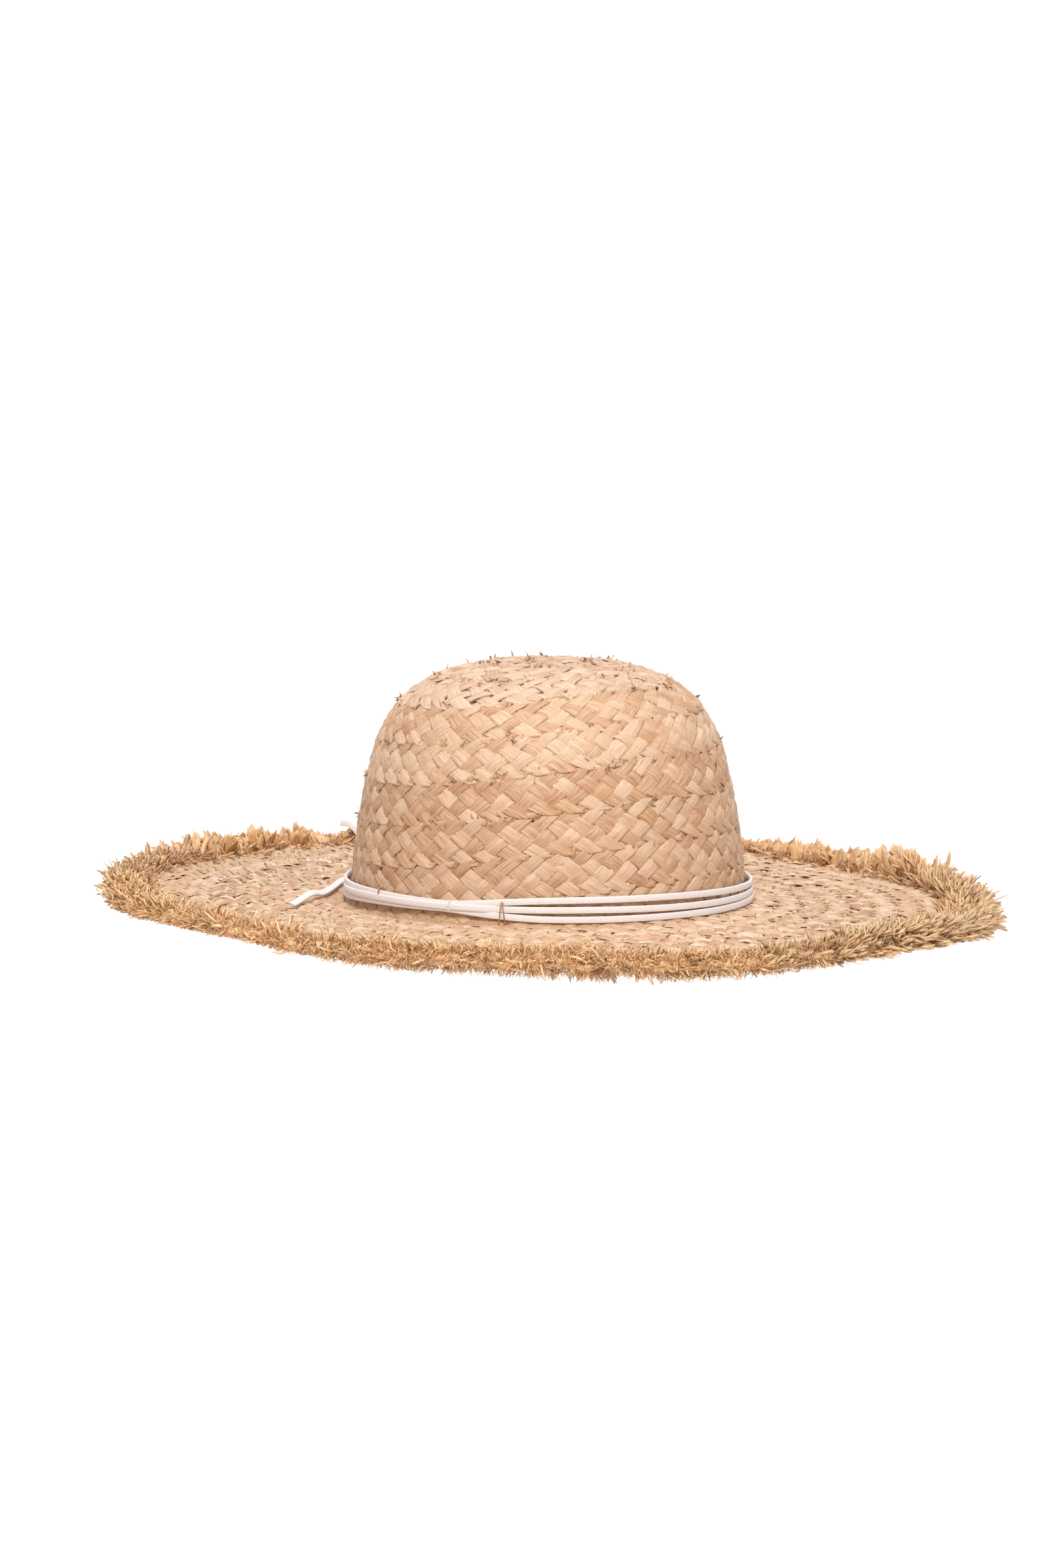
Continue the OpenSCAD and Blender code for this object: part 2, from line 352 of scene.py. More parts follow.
def raffia_material(name, pale, middle, deep, stain, own_share=0.2, root_shade_gain=0.0):
    """Dry split palm leaf: lengthwise grain, a colour of its own for each strand, some stains."""
    n = Nodes(name)
    along, across, number = n.strand_parts()
    own = n.new("ShaderNodeTexWhiteNoise", noise_dimensions="1D")
    n.join(number, own.inputs["W"])

    def streaks(scale, *noise):
        place = n.vector(n.math("MULTIPLY", along, scale[0]), n.math("MULTIPLY", across, scale[1]), number)
        return n.noise(place, *noise)

    grain = streaks(GRAIN_SCALE, 1.6, 4.0, 0.62)
    fibres = streaks(FIBRE_SCALE, 1.5, 2.0, 0.5)
    own_tone = n.math("MULTIPLY", own.outputs["Value"], own_share)
    tone = n.math("ADD", own_tone, n.math("MULTIPLY", grain, 0.95))
    # Painted shade: the tone rises along each strand by the given gain per millimetre, so the roots deep in
    # the frayed edge are darker and the tips paler.
    tone = n.math("ADD", tone, n.math("MULTIPLY", along, root_shade_gain))
    colour = n.ramp(tone, zip(TONE_STOPS, (deep, middle, pale)))
    place = n.new("ShaderNodeTexCoord").outputs["Object"]
    cloud = n.noise(place, STAIN_SCALE, 3.0, 0.6)
    stained = n.math("MULTIPLY", n.math("SUBTRACT", cloud, STAIN_FROM), 6.0, clamp=True)
    colour = n.mix_colours(n.math("MULTIPLY", stained, STAIN_SHARE), colour, stain)
    lines = n.math("MULTIPLY", n.math("SUBTRACT", FIBRE_LINE_FROM, fibres), 5.0, clamp=True)
    colour = n.mix_colours(n.math("MULTIPLY", lines, FIBRE_LINE_SHARE), colour, deep)
    height = n.math("ADD", grain, n.math("MULTIPLY", fibres, 0.5))
    normal = n.bump(height, 0.8, 0.0008)
    least, gain = RAFFIA_ROUGHNESS
    rough = n.math("ADD", least, n.math("MULTIPLY", grain, gain))
    return n.finish(colour, normal, rough, specular=1.0)


def cotton_material(name, light, shade, ribs, lean, depth):
    """Knitted or braided cotton: two sets of fine slanting ribs and a soft mottle."""
    n = Nodes(name)
    along, across, _ = n.strand_parts()
    slant = n.math("MULTIPLY", across, lean)
    one = n.math("SINE", n.math("MULTIPLY", n.math("ADD", along, slant), ribs))
    two = n.math("SINE", n.math("MULTIPLY", n.math("SUBTRACT", along, slant), ribs))
    weave = n.math("MULTIPLY", n.math("MAXIMUM", one, two), 0.5)
    place = n.new("ShaderNodeTexCoord").outputs["Object"]
    mottle = n.noise(place, 900.0, 3.0, 0.6)
    tone = n.math("ADD", n.math("MULTIPLY", weave, 0.35), mottle)
    colour = n.ramp(tone, [(0.25, shade), (0.70, light)])
    height = n.math("ADD", weave, n.math("MULTIPLY", mottle, 0.6))
    return n.finish(colour, n.bump(height, 0.5, depth), 0.85, specular=0.2, sheen=0.25)


CROWN_RAFFIA = raffia_material(
    "crown_raffia", srgb(228, 198, 170), srgb(202, 158, 117), srgb(152, 92, 48), srgb(180, 100, 44),
    own_share=0.26)
TOP_RAFFIA = raffia_material(
    "crown_top_raffia", srgb(232, 208, 186), srgb(212, 176, 144), srgb(160, 104, 64), srgb(190, 112, 56))
BRIM_RAFFIA = raffia_material(
    "brim_raffia", srgb(236, 212, 188), srgb(206, 165, 126), srgb(156, 100, 60), srgb(180, 108, 56),
    own_share=0.32)
# Both frayed colours grow darker towards the blades' roots: painted shade in the recess of the frayed edge.
FRAYED_RAFFIA = raffia_material(
    "frayed_raffia", srgb(252, 208, 154), srgb(238, 172, 106), srgb(204, 116, 46), srgb(214, 116, 40),
    own_share=0.45, root_shade_gain=0.03)
# A darker copy of the frayed colour for the upper parts that don't face the camera: painted shade.
FRAYED_RAFFIA_PAINTED_SHADE = raffia_material(
    "frayed_raffia_painted_shade", srgb(238, 196, 146), srgb(214, 152, 94), srgb(190, 108, 44), srgb(206, 110, 40),
    own_share=0.45, root_shade_gain=0.03)
STITCH_RAFFIA = raffia_material(
    "raffia_strand", srgb(224, 182, 140), srgb(200, 150, 104), srgb(152, 92, 48), srgb(172, 96, 42))
WHITE_LACE = cotton_material("white_lace", srgb(226, 219, 217), srgb(216, 206, 203), 7.0, 0.9, 0.00006)
COTTON_TAPE = cotton_material("cotton_tape", srgb(236, 226, 208), srgb(206, 192, 170), 4.0, 0.0, 0.0003)
SEWING_THREAD = cotton_material("sewing_thread", srgb(244, 238, 232), srgb(214, 204, 196), 9.0, 2.0, 0.0001)


# ---- The surface that the plait follows ----
def crown_share(t):
    return (1 - 0.08 * t - 0.16 * t * t) * np.power(np.maximum(0, 1 - t ** 8), 0.35)


def crown_radius(height):
    return CROWN_R * crown_share(np.clip(np.asarray(height, float) / CROWN_H, 0, 1))


def brim_lift(r, a):
    """Height of the brim over its root, at the radius r and the angle a in degrees."""
    reach = np.maximum(0, r - CROWN_R) / (FRINGE_R - CROWN_R)
    tilt = -BRIM_TILT * np.cos(np.radians(a - LOW_SIDE)) * reach
    return tilt + BRIM_WAVE * np.sin(np.radians(WAVE_COUNT * a)) * reach ** 2


# How far the outline runs out past the crown's foot, and how much that foot is rounded.
OUTLINE_REACH = 115
FOOT_SOFTNESS = 1.3


def outline():
    """Middle of the plait from the tip over the crown and out along the brim.

    Gives the distance along it, the radius, the height above the brim and the normal.
    """
    t = np.sin(np.linspace(math.pi / 2, 0, 500))
    r, z = CROWN_R * crown_share(t), CROWN_H * t
    run = running_sum(np.hypot(np.diff(r), np.diff(z)))
    total = run[-1]
    dr, dz = np.gradient(r, run), np.gradient(z, run)
    size = np.hypot(dr, dz)
    r_in, z_in = r + PLAIT_T / 2 * dz / size, z - PLAIT_T / 2 * dr / size
    out = np.linspace(0.5, OUTLINE_REACH, 230)
    q = np.concatenate([run, total + out])
    r_all = np.concatenate([np.maximum(r_in, 0), CROWN_R + out])
    z_all = np.concatenate([z_in, np.full(len(out), -PLAIT_T / 2)])
    step = 0.25
    even = np.arange(-12, q[-1], step)
    r_even = np.sign(even) * np.interp(np.abs(even), q, r_all)
    z_even = np.interp(np.abs(even), q, z_all)
    sigma = FOOT_SOFTNESS / step
    r_soft, z_soft = blurred(r_even, 16, sigma), blurred(z_even, 16, sigma)
    dr, dz = np.gradient(r_soft, step), np.gradient(z_soft, step)
    size = np.hypot(dr, dz)
    keep = (even >= 0) & (even < q[-1] - 5)
    return even[keep], r_soft[keep], z_soft[keep], (-dz / size)[keep], (dr / size)[keep], total


LINE_Q, LINE_R, LINE_Z, LINE_NR, LINE_NZ, CROWN_RUN = outline()


def on_hat(q, a, h):
    """Point at the distance q from the tip, the angle a and the height h over the plait's middle."""
    r0, z0, nr, nz = (np.interp(q, LINE_Q, line) for line in (LINE_R, LINE_Z, LINE_NR, LINE_NZ))
    r = r0 + h * nr
    z = BRIM_Z + z0 + h * nz + brim_lift(r0, a)
    return at_angle(r, a, z)


# ---- The spiral ----
# g counts turns from the tip. The plait runs clockwise from above and starts at the back.
CROWN_TURNS = 9
BRIM_TURNS = 8
CROWN_PITCH = 19.4
FIRST_SEAM = 5.9
BRIM_START = 9.5
BRIM_SEAM = FIRST_SEAM + CROWN_PITCH * (BRIM_START - 0.5)
BRIM_PITCH = (CROWN_RUN + BRIM_R - CROWN_R - BRIM_SEAM) / BRIM_TURNS
# How far the seams rise on the crown beyond the spiral's own rise, by angle.
SEAM_ANGLES = [90, 140, 191, 227, 250, 270, 298, 319, 343, 400, 450]
SEAM_RISES = [0, -5, -7, -6.3, -3.5, 0, 2, 2.5, 0.5, 0, 0]
# That rise begins at the first of these distances from the tip and has gone at the second.
RISE_FROM, RISE_FADE_IN = 25, 45
RISE_TO, RISE_FADE_OUT = 188, 22


def angle_at(g):
    return 90 - 360 * g


def seam(g):
    """Distance from the tip to the inner edge of the plait after g turns."""
    g = np.asarray(g, float)
    crown = FIRST_SEAM + CROWN_PITCH * (g - 0.5)
    brim = BRIM_SEAM + BRIM_PITCH * (g - BRIM_START)
    base = np.where(g < BRIM_START, crown, brim)
    base = np.maximum(base, 1.5 + 2.0 * np.maximum(g, 0))
    a = np.mod(angle_at(g) - 90, 360) + 90
    share = smoothstep((base - RISE_FROM) / RISE_FADE_IN) * smoothstep((RISE_TO - base) / RISE_FADE_OUT)
    return base - share * np.interp(a, SEAM_ANGLES, SEAM_RISES)


# The ribbons stay low under the lace, which lies this high over the crown's foot.
LACE_MIDDLE = 6.0
UNDER_LACE = 0.95


class Plait:
    """A stretch of the spiral woven from one number of strands."""

    def __init__(self, first, last, strands, width, cell, overlap):
        self.strands, self.width, self.cell, self.overlap = strands, width, cell, overlap
        self.g = np.linspace(first - 0.3, last + 0.3, 6000)
        middle = np.interp((seam(self.g) + seam(self.g + 1)) / 2, LINE_Q, LINE_R)
        run = running_sum(middle[1:] * np.diff(self.g) * 2 * math.pi)
        self.x = (run[-1] - run) / cell

    def x_at(self, g):
        return np.interp(g, self.g, self.x)

    def place(self, x, v, h):
        """Point of the plait at x cells along, v across from its outer edge, h over its middle."""
        g = np.interp(-x, -self.x, self.g)
        inner, outer = seam(g) - self.overlap, seam(g + 1) + self.overlap
        q = outer - v / self.width * (outer - inner)
        room = smoothstep(np.abs(q - CROWN_RUN + LACE_MIDDLE) / 5 - 2)
        h = np.minimum(h, UNDER_LACE + room * 3)
        return on_hat(np.maximum(q, 0.2), angle_at(g), h)


def row_stops(strands, width, step, edge):
    """Where the rows of a ribbon lie on one way across the plait, in strand rows."""
    close = [0, 0.5 * edge, edge, edge + 0.7, edge + 1.7]
    inner = close[-1]
    count = max(2, int(round((width - 2 * inner) / step)))
    middle = [inner + (width - 2 * inner) * k / count for k in range(1, count)]
    stops = close + middle + [width - s for s in reversed(close)]
    return np.array(stops) * strands / width


def weave_turn(plait, shape, g0, g1, style):
    """Adds the ribbons of one turn. Each goes from edge to edge, folding back behind itself."""
    n, width = plait.strands, plait.width
    x0, x1 = plait.x_at(g1), plait.x_at(g0)
    bend = style["bend"]
    stops = row_stops(n, width, style["row_step"], bend * math.pi / 2)
    slant = math.atan2(2 * width, n * plait.cell)
    for i in range(n):
        first = math.ceil((x0 - n / 4 - i) / (n / 2))
        last = math.ceil((x1 - n / 4 - i) / (n / 2))
        if last <= first:
            continue
        ways = np.arange(first, last)
        rows = np.concatenate([w * n + stops[:-1] for w in ways])
        rows = np.append(rows, last * n)
        way = np.minimum(np.floor(rows / n + 1e-9), last - 1).astype(int)
        add_ribbon(plait, shape, style, rows, way, i, slant)


def add_ribbon(plait, shape, style, rows, way, i, slant):
    """One ribbon of a turn, through the given rows. way counts its passes across the plait."""
    n, width, cell = plait.strands, plait.width, plait.cell
    bend, cols, half_t = style["bend"], style["cols"], style["thick"] / 2
    per_row = width / n
    y = rows - way * n
    upward = way % 2 == 0
    y = np.where(upward, y, n - y)
    fold = np.round(rows / n)
    d = (rows - fold * n) * per_row
    turn = np.clip(d / bend, -math.pi / 2, math.pi / 2)
    inward = bend - bend * np.cos(turn) + np.maximum(np.abs(d) - bend * math.pi / 2, 0)
    at_top = fold % 2 == 1
    v = np.where(at_top, width - inward, inward)
    facing = np.where(at_top, math.pi / 2 + turn, math.pi / 2 - turn)
    # across the ribbon
    w = np.linspace(-1, 1, cols)[None, :]
    cover = style["cover"] * rng.uniform(1 - style["uneven"], 1 + 0.6 * style["uneven"])
    swell = style["uneven"] * 0.8
    slow = 1 + swell * np.sin(rows * 0.9 + rng.uniform(0, 6.28)) + rng.normal(0, 0.02, len(rows))
    pinch = 1 - style["pinch"] * np.exp(-((np.abs(d) / (0.5 * per_row)) ** 2))
    g = np.interp(-(i + rows / 2), -plait.x, plait.g)
    front = smoothstep(-np.sin(np.radians(angle_at(g))) * 1.6 - 0.5)
    half = 0.5 * cover * slow * pinch * (1 + style["front_cover"] * front)
    drift = style["drift"] * np.sin(rows * 0.55 + rng.uniform(0, 6.28))
    centre = i + rows / 2 + drift
    x = centre[:, None] + w * half[:, None]
    start = (i + way * n / 2 + drift)[:, None]
    up_wave = np.cos(math.pi * (x + y[:, None] / 2 - start))
    down_wave = -np.cos(math.pi * (x - y[:, None] / 2 - start - n / 2))
    weave = np.where(upward[:, None], up_wave, down_wave)
    weave = np.sign(weave) * np.abs(weave) ** style["plump"]
    near_edge = smoothstep(1.15 - np.abs(d) / per_row)[:, None]
    folded = -bend * np.sin(turn)[:, None]
    h = near_edge * folded + (1 - near_edge) * weave * style["lift"]
    # lengthwise creases, a rounded face and some unevenness
    traverse = way - way.min()
    creases = rng.normal(0, style["crease"], (traverse.max() + 1, cols))
    creases[:, 0] -= 0.5 * style["crease"]
    creases[:, -1] -= 0.5 * style["crease"]
    h = h + creases[traverse] + rng.normal(0, 0.035, (len(rows), cols))
    up_share = np.cos(facing)[:, None]
    crown = style["crown"] * (0.45 - w ** 2)
    h = h + crown * np.where(weave > 0, 1.0, 0.3)
    lean = rng.normal(0, style["twist"], traverse.max() + 1)
    h = h + lean[traverse][:, None] * w
    ridge = style["ridge"] * (4 * (v / width) * (1 - v / width) - 0.6)
    h = h + ridge[:, None]
    hang = style["hang"] + 0.25 * np.sin(centre * 0.8) + 0.2 * np.sin(centre * 0.33 + 1)
    h = h + (hang * (1 - 2 * v / width))[:, None]
    sink = style["sink"] * rng.uniform(-1, 0.4)
    h = h + sink
    v = v[:, None] + np.zeros_like(w)
    side = np.sin(facing)[:, None]
    low, high = -PLAIT_T / 2 - style["proud"], PLAIT_T / 2 + style["proud"]
    face = plait.place(x, v + side * half_t, np.clip(h + up_share * half_t, low, high))
    back = plait.place(x, v - side * half_t, np.clip(h - up_share * half_t, low - 0.05, high - 0.05))
    number = rng.uniform(0, STRAND_NUMBERS)
    along = (rows * per_row / math.sin(slant))[:, None]
    strand = joined(along, cell * math.sin(slant) * half[:, None] * w, number)
    shape.add_strip(face, back, strand)


CROWN_STYLE = {"bend": 0.6, "thick": 0.32, "cols": 9, "row_step": 1.6, "cover": 1.02, "pinch": 0.36,
               "uneven": 0.09, "drift": 0.07, "plump": 0.75, "lift": 0.62, "crease": 0.1, "crown": 0.62,
               "twist": 0.16, "ridge": 0.0, "hang": 0.05, "sink": 0.12, "proud": 0.7, "front_cover": 0.0}
TOP_STYLE = dict(CROWN_STYLE, cover=0.88, uneven=0.16, drift=0.12, twist=0.2)
BRIM_STYLE = {"bend": 0.42, "thick": 0.3, "cols": 7, "row_step": 1.6, "cover": 0.78, "pinch": 0.42,
              "uneven": 0.2, "drift": 0.13, "plump": 0.8, "lift": 0.75, "crease": 0.12, "crown": 0.5,
              "twist": 0.3, "ridge": 0.9, "hang": 0.0, "sink": 0.2, "proud": 1.3, "front_cover": 0.25}
# The first turns, at the crown's top, are looser and paler.
TOP_TURNS = 3
CROWN_PLAIT = Plait(0, CROWN_TURNS, strands=5, width=CROWN_PITCH, cell=11.5, overlap=1.3)
BRIM_PLAIT = Plait(CROWN_TURNS, CROWN_TURNS + BRIM_TURNS, strands=3, width=11.43, cell=8.6, overlap=0.5)
# The plait's end runs on under the frayed edge by this share of a turn.
BRIM_TAIL = 0.28


def make_crown_plait():
    for k in range(1, CROWN_TURNS + 1):
        shape = Shape()
        weave_turn(CROWN_PLAIT, shape, k - 1, k, TOP_STYLE if k <= TOP_TURNS else CROWN_STYLE)
        material = TOP_RAFFIA if k <= TOP_TURNS else CROWN_RAFFIA
        shape.make(f"crown_plait_{k}", material, [f"crown_turn_{k}"])


def make_brim_plait():
    for k in range(1, BRIM_TURNS + 1):
        shape = Shape()
        end = CROWN_TURNS + k + (BRIM_TAIL if k == BRIM_TURNS else 0)
        weave_turn(BRIM_PLAIT, shape, CROWN_TURNS + k - 1, end, BRIM_STYLE)
        shape.make(f"brim_plait_{k}", BRIM_RAFFIA, [f"brim_turn_{k}"])


def make_tip():
    """The wound start of the plait: ribbons that leave the middle and lie over each other."""
    shape = Shape()
    count, rows, cols = 13, 9, 6
    for i in range(count):
        t = np.linspace(0, 1, rows)[:, None]
        w = np.linspace(-1, 1, cols)[None, :]
        swirl = 360 * i / count + 75 * t ** 1.3
        reach = 0.6 + 9.5 * t
        wide = (0.5 + 2.4 * np.sin(math.pi * np.clip(t, 0.05, 0.95)) ** 0.7)
        a = swirl + np.degrees(w * wide / np.maximum(reach, 1.2))
        h = 0.55 - 0.35 * t + 0.3 * (1 - w ** 2) - 0.5 * (w + 1) / 2 + rng.normal(0, 0.05, (1, cols))
        h = np.clip(h, -0.7, 0.95)
        reach = reach + 0 * w
        strand = joined(10 * t, wide * w, rng.uniform(0, STRAND_NUMBERS))
        shape.add_strip(on_hat(reach, a, h + 0.15), on_hat(reach, a, h - 0.15), strand)
    shape.make("crown_plait_start", TOP_RAFFIA, ["crown_tip"])


# ---- Blades: every loose or frayed strand ----
# Width of a blade from its root to its tip, as shares of its full width.
BLADE_PROFILES = {
    "needle": [0.7, 1.0, 0.95, 0.45],
    "stitch": [0.8, 1.0, 1.0, 1.0, 0.8],
}


def add_blades(shape, roots, first, last, upright, lengths, widths, profile="needle", fold=0.22,
               numbers=None):
    """Thin folded strips from roots, turning from the direction first to the direction last."""
    count = len(roots)
    shares = np.array(BLADE_PROFILES[profile])
    rings = len(shares)
    t = np.linspace(0, 1, rings)
    way = unit(first[:, None, :] * (1 - t)[None, :, None] + last[:, None, :] * t[None, :, None])
    steps = (lengths / (rings - 1))[:, None, None] * (way[:, 1:] + way[:, :-1]) / 2
    spine = roots[:, None, :] + np.concatenate([np.zeros((count, 1, 3)), np.cumsum(steps, 1)], 1)
    side = unit(np.cross(way, upright[:, None, :]))
    over = unit(np.cross(side, way))
    half = widths[:, None] * shares[None, :] / 2
    rise = np.maximum(half * fold * 2, 0.09)
    left = spine - side * half[..., None]
    right = spine + side * half[..., None]
    top = spine + over * rise[..., None]
    ring = np.stack([left, right, top], 2)
    numbers = rng.uniform(0, STRAND_NUMBERS, count) if numbers is None else numbers
    along = (lengths[:, None] * t[None, :])[:, :, None]
    strand = joined(along, half[:, :, None] * np.array([-1, 1, 0]), numbers[:, None, None])
    quads, _ = tube_quads(rings, 3)
    ends = np.array([[0, 2, 1], [(rings - 1) * 3, (rings - 1) * 3 + 1, (rings - 1) * 3 + 2]])
    shift = (np.arange(count) * rings * 3)[:, None, None]
    shape.add(ring, strand, quads[None] + shift, ends[None] + shift)


def share_between(a, start, end, fade=9.0):
    """1 between the two angles, fading to 0 outside them."""
    middle, half = (start + end) / 2, (end - start) / 2
    away = np.abs(np.mod(a - middle + 180, 360) - 180)
    return smoothstep((half + fade - away) / (2 * fade))


# The frayed edge is a soft roll. The angle around its section is 0 outwards and 90 upwards.
ROLL_R = 199.0
ROLL_OUT = 9.5
ROLL_DROP = 0.8
UPPER_PARTS, UPPER_SECTION = 6, (-5, 185)
LOWER_PARTS, LOWER_SECTION = 4, (185, 355)
# The parts of the upper row that face the camera. They keep the plain frayed colour; the other upper parts
# get a darker copy of it, painted shade.
FRONT_PARTS = (3, 4)
# Blades for each degree round the hat.
FLUFF_COUNT = 76
BROAD_COUNT = 5.0
BRUSH_COUNT = 24
PETAL_COUNT = 5.0
LOWER_AMOUNT = 0.75
PETAL_ARC = (24, 158)
BRUSH_ARC = (-48, 24)
STUBBY_ARC = (150, 205)
# How far the roll hangs under the brim's face, and how high it stands over it, by the hat's angle.
DROP_ANGLES = [0, 20, 90, 170, 200, 215, 232, 243, 256, 268, 278, 288, 300, 315, 335, 348, 360]
DROP_DEPTHS = [6.5, 6, 6, 4, 2.5, 2.6, 2.2, 5, 7.6, 9.5, 9.2, 7.4, 5.4, 3.4, 2.2, 4.5, 7.5]
RISE_ANGLES = [0, 18, 30, 45, 60, 90, 112, 116, 122, 127, 140, 160,
               175, 200, 225, 245, 270, 290, 310, 330, 345, 360]
RISE_HEIGHTS = [8.5, 11, 11.5, 7, 5.5, 5, 5.5, 3, 3, 5.8, 7, 9,
                10, 10, 11, 9.5, 8, 8.5, 11, 11.5, 9, 8.5]


def drop_depth(a):
    return np.interp(np.mod(a, 360), DROP_ANGLES, DROP_DEPTHS)


def rise_height(a):
    return np.interp(np.mod(a, 360), RISE_ANGLES, RISE_HEIGHTS)


def lumps(a, section):
    """Uneven swelling of the roll, as from separate tufts."""
    return 1 + 0.2 * wave_noise(a * 1.1, section * 0.03, 5) + 0.15 * wave_noise(a * 2.4, section * 0.06, 6)


def roll_point(a, section, size=1.0):
    """Point on the roll, and its outward direction, at the hat's angle a and the section's angle."""
    around = np.radians(section)
    size = size * lumps(a, section)
    r = ROLL_R + size * ROLL_OUT * np.cos(around)
    tall = np.where(np.sin(around) > 0, 0.48 * rise_height(a), 0.55 * drop_depth(a))
    z = BRIM_Z + brim_lift(np.minimum(r, FRINGE_R), a) - ROLL_DROP + size * tall * np.sin(around)
    nr, nz = np.cos(around) / ROLL_OUT, np.sin(around) / tall
    return at_angle(r, a, z), at_angle(nr, a, nz) / np.hypot(nr, nz)[..., None]


def fringe_core(shape, start, end, section_range):
    """The sewn heads of the frayed strands, as a lumpy bundle under the blades."""
    rings, sides = int(end - start) * 3 + 1, 12
    a = np.linspace(start, end, rings)[:, None] + np.zeros((1, sides))
    section = np.linspace(*section_range, sides)[None, :] + 0 * a
    face, _ = roll_point(a, section, 0.72)
    back, _ = roll_point(a, section, 0.35)
    shape.add_strip(face, back, joined(section * 0.1, a * 3.5, 3.0), turned=True)


TUFT_COUNT = 4096
TUFT_WAYS = unit(rng.normal(0, 1, (TUFT_COUNT, 3)))
TUFT_SIZES = rng.uniform(0.7, 1.3, TUFT_COUNT)
TUFT_NUMBERS = rng.uniform(0, STRAND_NUMBERS, TUFT_COUNT)


def blades_on_roll(shape, a, section, lengths, widths, spread, pull=0.0, tuft_a=2.2, tuft_section=38,
                   curl=1.1):
    """Blades on the roll. Those of one tuft share a direction, a size and nearly a colour."""
    count = len(a)
    row = np.round(section / tuft_section)
    column = np.round(a / tuft_a + 0.5 * row)
    tuft = (column * 73 + row * 1019).astype(int) % TUFT_COUNT
    roots, out = roll_point(a, section, rng.uniform(0.55, 0.95, count))
    centres, _ = roll_point((column - 0.5 * row) * tuft_a, row * tuft_section, 0.7)
    apart = (roots - centres) / 5.0
    stray = spread * rng.normal(0, 1, (count, 3))
    first = unit(0.9 * out + 0.75 * TUFT_WAYS[tuft] + 0.5 * apart + stray + pull)
    last = unit(first + 0.3 * apart + curl * spread * rng.normal(0, 1, (count, 3)) + 0.6 * pull)
    lengths = lengths * TUFT_SIZES[tuft]
    reach_limit(roots, first, last, lengths, a)
    upright = unit(out + 0.6 * rng.normal(0, 1, (count, 3)))
    own = rng.uniform(0, 1, count) < 0.35
    numbers = np.where(own, rng.uniform(0, STRAND_NUMBERS, count), TUFT_NUMBERS[tuft])
    add_blades(shape, roots, first, last, upright, lengths, widths, numbers=numbers)


def reach_limit(roots, first, last, length, a):
    """Shortens the blades that would leave the space of the frayed edge."""
    mean = unit(first + last)
    tip = roots + mean * length[:, None]
    radius = np.hypot(tip[:, 0], tip[:, 1])
    ends = 3.5 * np.abs(np.cos(np.radians(a))) ** 6
    over = np.maximum(0, radius - (FRINGE_R + ends + rng.uniform(-5, 2.0, len(a))))
    length -= over / np.maximum(np.hypot(mean[:, 0], mean[:, 1]), 0.3)
    top = BRIM_Z + brim_lift(np.minimum(radius, FRINGE_R), a)
    over = np.maximum(0, tip[:, 2] - (top + rise_height(a) * rng.uniform(0.7, 1.1, len(a))))
    floor = np.maximum(top - drop_depth(a) * rng.uniform(0.75, 1.15, len(a)), 0.3)
    under = np.maximum(0, floor - tip[:, 2])
    length -= (over + under) / np.maximum(np.abs(mean[:, 2]), 0.3)
    np.maximum(length, 2.0, out=length)


def pick(start, end, per_degree, share):
    """Random angles between start and end, kept in proportion to the share at each angle."""
    a = rng.uniform(start, end, int(per_degree * (end - start)))
    return a[rng.uniform(0, 1, len(a)) < share(a)]


def petals(shape, a, section, lengths, widths, lean, sways):
    """Broad, creased, curled strips that stand up from the roll."""
    rows, cols, half_t = 6, 5, 0.16
    t = np.linspace(0, 1, rows)[:, None]
    w = np.linspace(-1, 1, cols)[None, :]
    taper = 0.6 + 0.4 * np.sin(math.pi * np.clip(t * 0.75 + 0.08, 0, 1)) - 0.15 * t ** 4
    for k in range(len(a)):
        root, _ = roll_point(a[k:k + 1], section[k:k + 1], 0.6)
        out, along = outward(a[k]), onward(a[k])
        curl = math.radians(rng.uniform(-35, 45))
        sway = math.radians(sways[k])
        bend = math.radians(lean[k]) + curl * t
        way = np.sin(bend) * out + np.cos(bend) * np.array([0, 0, 1.0])
        way = way * math.cos(sway) + along * math.sin(sway)
        step = lengths[k] / (rows - 1)
        spine = root[0] + np.concatenate([np.zeros((1, 3)), np.cumsum(way[1:] * step, 0)])
        facing = unit(np.cross(along * math.cos(sway), way))
        ragged = rng.normal(0, 0.9, cols)[None, :] * t ** 6
        side = unit(np.cross(way, facing))
        crease = rng.normal(0, 0.38, (1, cols)) + 0.5 * w ** 2 * rng.uniform(-1, 1)
        middle = (spine[:, None] + (side[:, None] * (w * taper * widths[k] / 2)[..., None])
                  + facing[:, None] * crease[..., None] + way[:, None] * ragged[..., None])
        strand = joined(lengths[k] * t, widths[k] / 2 * w, rng.uniform(0, STRAND_NUMBERS))
        shape.add_strip(middle + facing[:, None] * half_t, middle - facing[:, None] * half_t, strand)


def add_fluff(shape, start, end, section_range, amount):
    """Fine fluff, everywhere but thinner where the petals and the brush are."""
    low, high = section_range
    a = pick(start, end, FLUFF_COUNT * amount,
             lambda x: 1 - 0.5 * share_between(x, *PETAL_ARC) - 0.55 * share_between(x, *BRUSH_ARC))
    section = rng.uniform(low - 6, high + 6, len(a))
    widths = rng.uniform(0.2, 0.75, len(a)) * (1 + 1.1 * share_between(a, *STUBBY_ARC))
    blades_on_roll(shape, a, section, rng.uniform(2.5, 7.0, len(a)), widths, 0.42, 0.1 * outward(a),
                   curl=2.4)


def add_broad_blades(shape, start, end, section_range, amount):
    a = pick(start, end, BROAD_COUNT * amount, lambda x: 1 - 0.5 * share_between(x, *PETAL_ARC))
    section = rng.uniform(*section_range, len(a))
    blades_on_roll(shape, a, section, rng.uniform(5, 11, len(a)), rng.uniform(1.0, 2.0, len(a)), 0.4)


